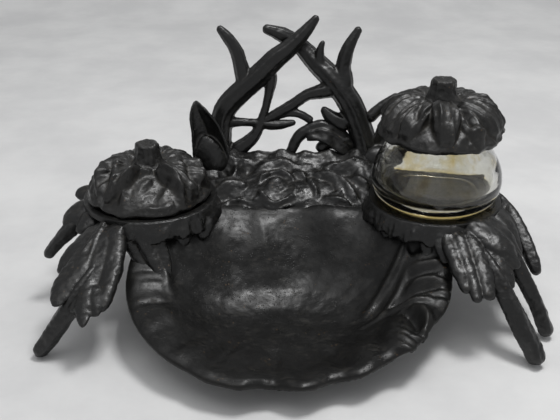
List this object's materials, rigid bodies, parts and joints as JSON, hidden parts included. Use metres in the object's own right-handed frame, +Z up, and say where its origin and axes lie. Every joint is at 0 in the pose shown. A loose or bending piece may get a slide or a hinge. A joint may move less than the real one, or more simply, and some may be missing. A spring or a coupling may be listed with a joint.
{
  "type": "inkwell",
  "caption": "Cast iron double inkstand: ruffled leaf pen tray, two well seats on twig legs, crossed-antler pen rack, loose domed lids and a clear glass ink pot.",
  "frame": {"origin": "middle of the stand's outline, on the surface it stands on", "axes": "+Z up, +X to the right of a person facing the pen tray, -Y towards that person"},
  "size_m": [0.2589, 0.1924, 0.1352],
  "materials": {
    "japanned_iron": "black japanned casting, satin gloss, dust in the hollows, paint worn on high spots",
    "lid_iron": "black japanned casting, duller and rougher than the stand",
    "clear_glass": "clear moulded glass with a faint smoky yellow tint and an amber stain at the heel",
    "plain_steel": "dull steel screws with a little rust"
  },
  "bodies": {
    "stand": {"fruit_mound": "japanned_iron", "left_antler": "japanned_iron", "left_front_leaf": "japanned_iron", "left_front_leg": "japanned_iron", "left_rear_leg": "japanned_iron", "left_side_leaf": "japanned_iron", "left_side_twig": "japanned_iron", "left_tray_leaf": "japanned_iron", "left_upright_leaf": "japanned_iron", "left_well_seat": "japanned_iron", "pen_tray": "japanned_iron", "rack_foot": "japanned_iron", "rack_screws": "plain_steel", "right_antler": "japanned_iron", "right_front_leaf": "japanned_iron", "right_front_leg": "japanned_iron", "right_outer_leg": "japanned_iron", "right_rack_leaf": "japanned_iron", "right_rear_leg": "japanned_iron", "right_side_leaf": "japanned_iron", "right_side_twig": "japanned_iron", "right_tray_leaf": "japanned_iron", "right_well_seat": "japanned_iron", "scroll_leaf": "japanned_iron"},
    "left_lid": {"left_lid": "lid_iron"},
    "ink_pot": {"ink_pot": "clear_glass"},
    "right_lid": {"right_lid": "lid_iron"}
  },
  "joints": [
    {"name": "left_lid_lift", "type": "slide", "parent": "stand", "child": "left_lid", "axis": [0, 0, 1], "range_m": [0, 0.06]},
    {"name": "right_pot_lift", "type": "slide", "parent": "stand", "child": "ink_pot", "axis": [0, 0, 1], "range_m": [0, 0.06]},
    {"name": "right_lid_lift", "type": "slide", "parent": "ink_pot", "child": "right_lid", "axis": [0, 0, 1], "range_m": [0, 0.05]}
  ]
}
